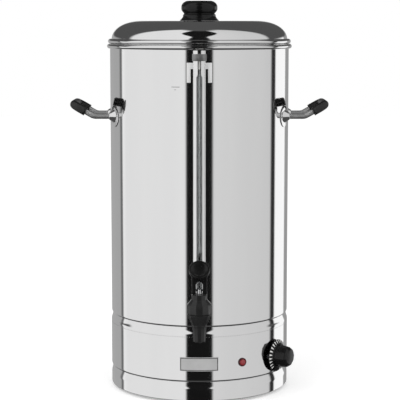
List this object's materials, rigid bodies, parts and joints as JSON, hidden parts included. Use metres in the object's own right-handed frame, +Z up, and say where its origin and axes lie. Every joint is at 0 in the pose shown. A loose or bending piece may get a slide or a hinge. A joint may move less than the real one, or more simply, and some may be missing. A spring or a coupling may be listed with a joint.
{
  "type": "hot water urn",
  "caption": "Tall polished steel water boiler with a domed lid, sight gauge, lever tap, two bail handles, thermostat dial and pilot lamp on a base band.",
  "frame": {"origin": "on the tank's vertical axis, in the plane of the feet's undersides", "axes": "+Z up along the tank's axis, -Y towards the tap, +X to the right seen from the tap's side"},
  "size_m": [0.3782, 0.3401, 0.574],
  "materials": {
    "polished_steel": "mirror-polished stainless steel",
    "guard_steel": "polished stainless channel",
    "satin_steel": "satin",
    "plate_steel": "satin, bare",
    "zinc_steel": "zinc plated",
    "spring_steel": "drawn wire",
    "element_steel": "dark sheath",
    "plated_brass": "chromed brass",
    "terminal_brass": "bare brass",
    "copper_sensor": "drawn copper",
    "heater_aluminium": "as cast",
    "black_plastic": "moulded, semi-gloss",
    "control_plastic": "moulded phenolic",
    "terminal_plastic": "moulded nylon",
    "red_plastic": "moulded",
    "lamp_ring": "moulded dark red",
    "red_lens": "translucent red",
    "gauge_glass": "clear borosilicate",
    "clear_silicone": "translucent silicone",
    "foot_rubber": "matte"
  },
  "bodies": {
    "urn": {"base_band": "polished_steel", "base_bracket_screws": "zinc_steel", "base_brackets": "zinc_steel", "base_plate": "zinc_steel", "base_ring": "polished_steel", "cable_gland": "black_plastic", "cutout_body": "control_plastic", "cutout_sensor": "copper_sensor", "earth_nut": "terminal_brass", "earth_stud": "terminal_brass", "foot_nuts": "zinc_steel", "foot_screws": "zinc_steel", "gauge_block": "plated_brass", "gauge_bracket": "guard_steel", "gauge_clip": "satin_steel", "gauge_glass": "gauge_glass", "gauge_glass_seal": "clear_silicone", "gauge_guard": "guard_steel", "gauge_top_plug": "clear_silicone", "gland_nut": "black_plastic", "heater_clamp": "zinc_steel", "heater_clamp_nut": "zinc_steel", "heater_element": "element_steel", "heater_plate": "heater_aluminium", "lamp_bezel": "lamp_ring", "lamp_body": "terminal_plastic", "lamp_lens": "red_lens", "left_handle_grip": "black_plastic", "left_handle_pads": "polished_steel", "left_handle_tube": "polished_steel", "name_plate": "plate_steel", "right_handle_grip": "black_plastic", "right_handle_pads": "polished_steel", "right_handle_tube": "polished_steel", "rubber_feet": "foot_rubber", "shank_nut": "plated_brass", "shank_washers": "clear_silicone", "tank_floor": "polished_steel", "tank_wall": "polished_steel", "tap_body": "black_plastic", "tap_bonnet": "black_plastic", "tap_spring": "spring_steel", "terminal_block": "terminal_plastic", "terminal_fixing_screws": "zinc_steel", "terminal_screws": "terminal_brass", "thermostat_body": "control_plastic", "thermostat_screws": "zinc_steel", "thermostat_sensor": "copper_sensor"},
    "lid": {"lid_dome": "polished_steel", "lid_skirt": "polished_steel", "lid_knob": "black_plastic", "lid_knob_bolt": "zinc_steel", "lid_knob_washer": "zinc_steel"},
    "tap_valve": {"tap_stem": "plated_brass", "tap_seal": "clear_silicone", "tap_lever_pin": "zinc_steel"},
    "tap_lever": {"tap_lever": "black_plastic"},
    "dial": {"dial_knob": "black_plastic", "thermostat_shaft": "zinc_steel"},
    "reset": {"reset_button": "red_plastic"}
  },
  "joints": [
    {"name": "lid_lift", "type": "slide", "parent": "urn", "child": "lid", "axis": [0, 0, 1], "range_m": [0, 0.25]},
    {"name": "valve_lift", "type": "slide", "parent": "urn", "child": "tap_valve", "axis": [0, 0, 1], "range_m": [0, 0.005], "stiffness_N_per_m": 600, "springref_m": -0.004, "deforming": ["tap_spring"]},
    {"name": "lever_tilt", "type": "hinge", "parent": "tap_valve", "child": "tap_lever", "pos_m": [0, -0.174, 0.174], "axis": [1, 0, 0], "range_deg": [0, 78]},
    {"name": "dial_turn", "type": "hinge", "parent": "urn", "child": "dial", "pos_m": [0.11049, -0.07313, 0.0576], "axis": [0.8339, -0.5519, 0], "range_deg": [-270, 0]},
    {"name": "reset_press", "type": "slide", "parent": "urn", "child": "reset", "axis": [0, 0, 1], "range_m": [0, 0.0015], "stiffness_N_per_m": 400, "springref_m": -0.0012}
  ],
  "couplings": [
    {"joint": "lever_tilt", "follows": "valve_lift", "rad_per_m": 261.78}
  ]
}
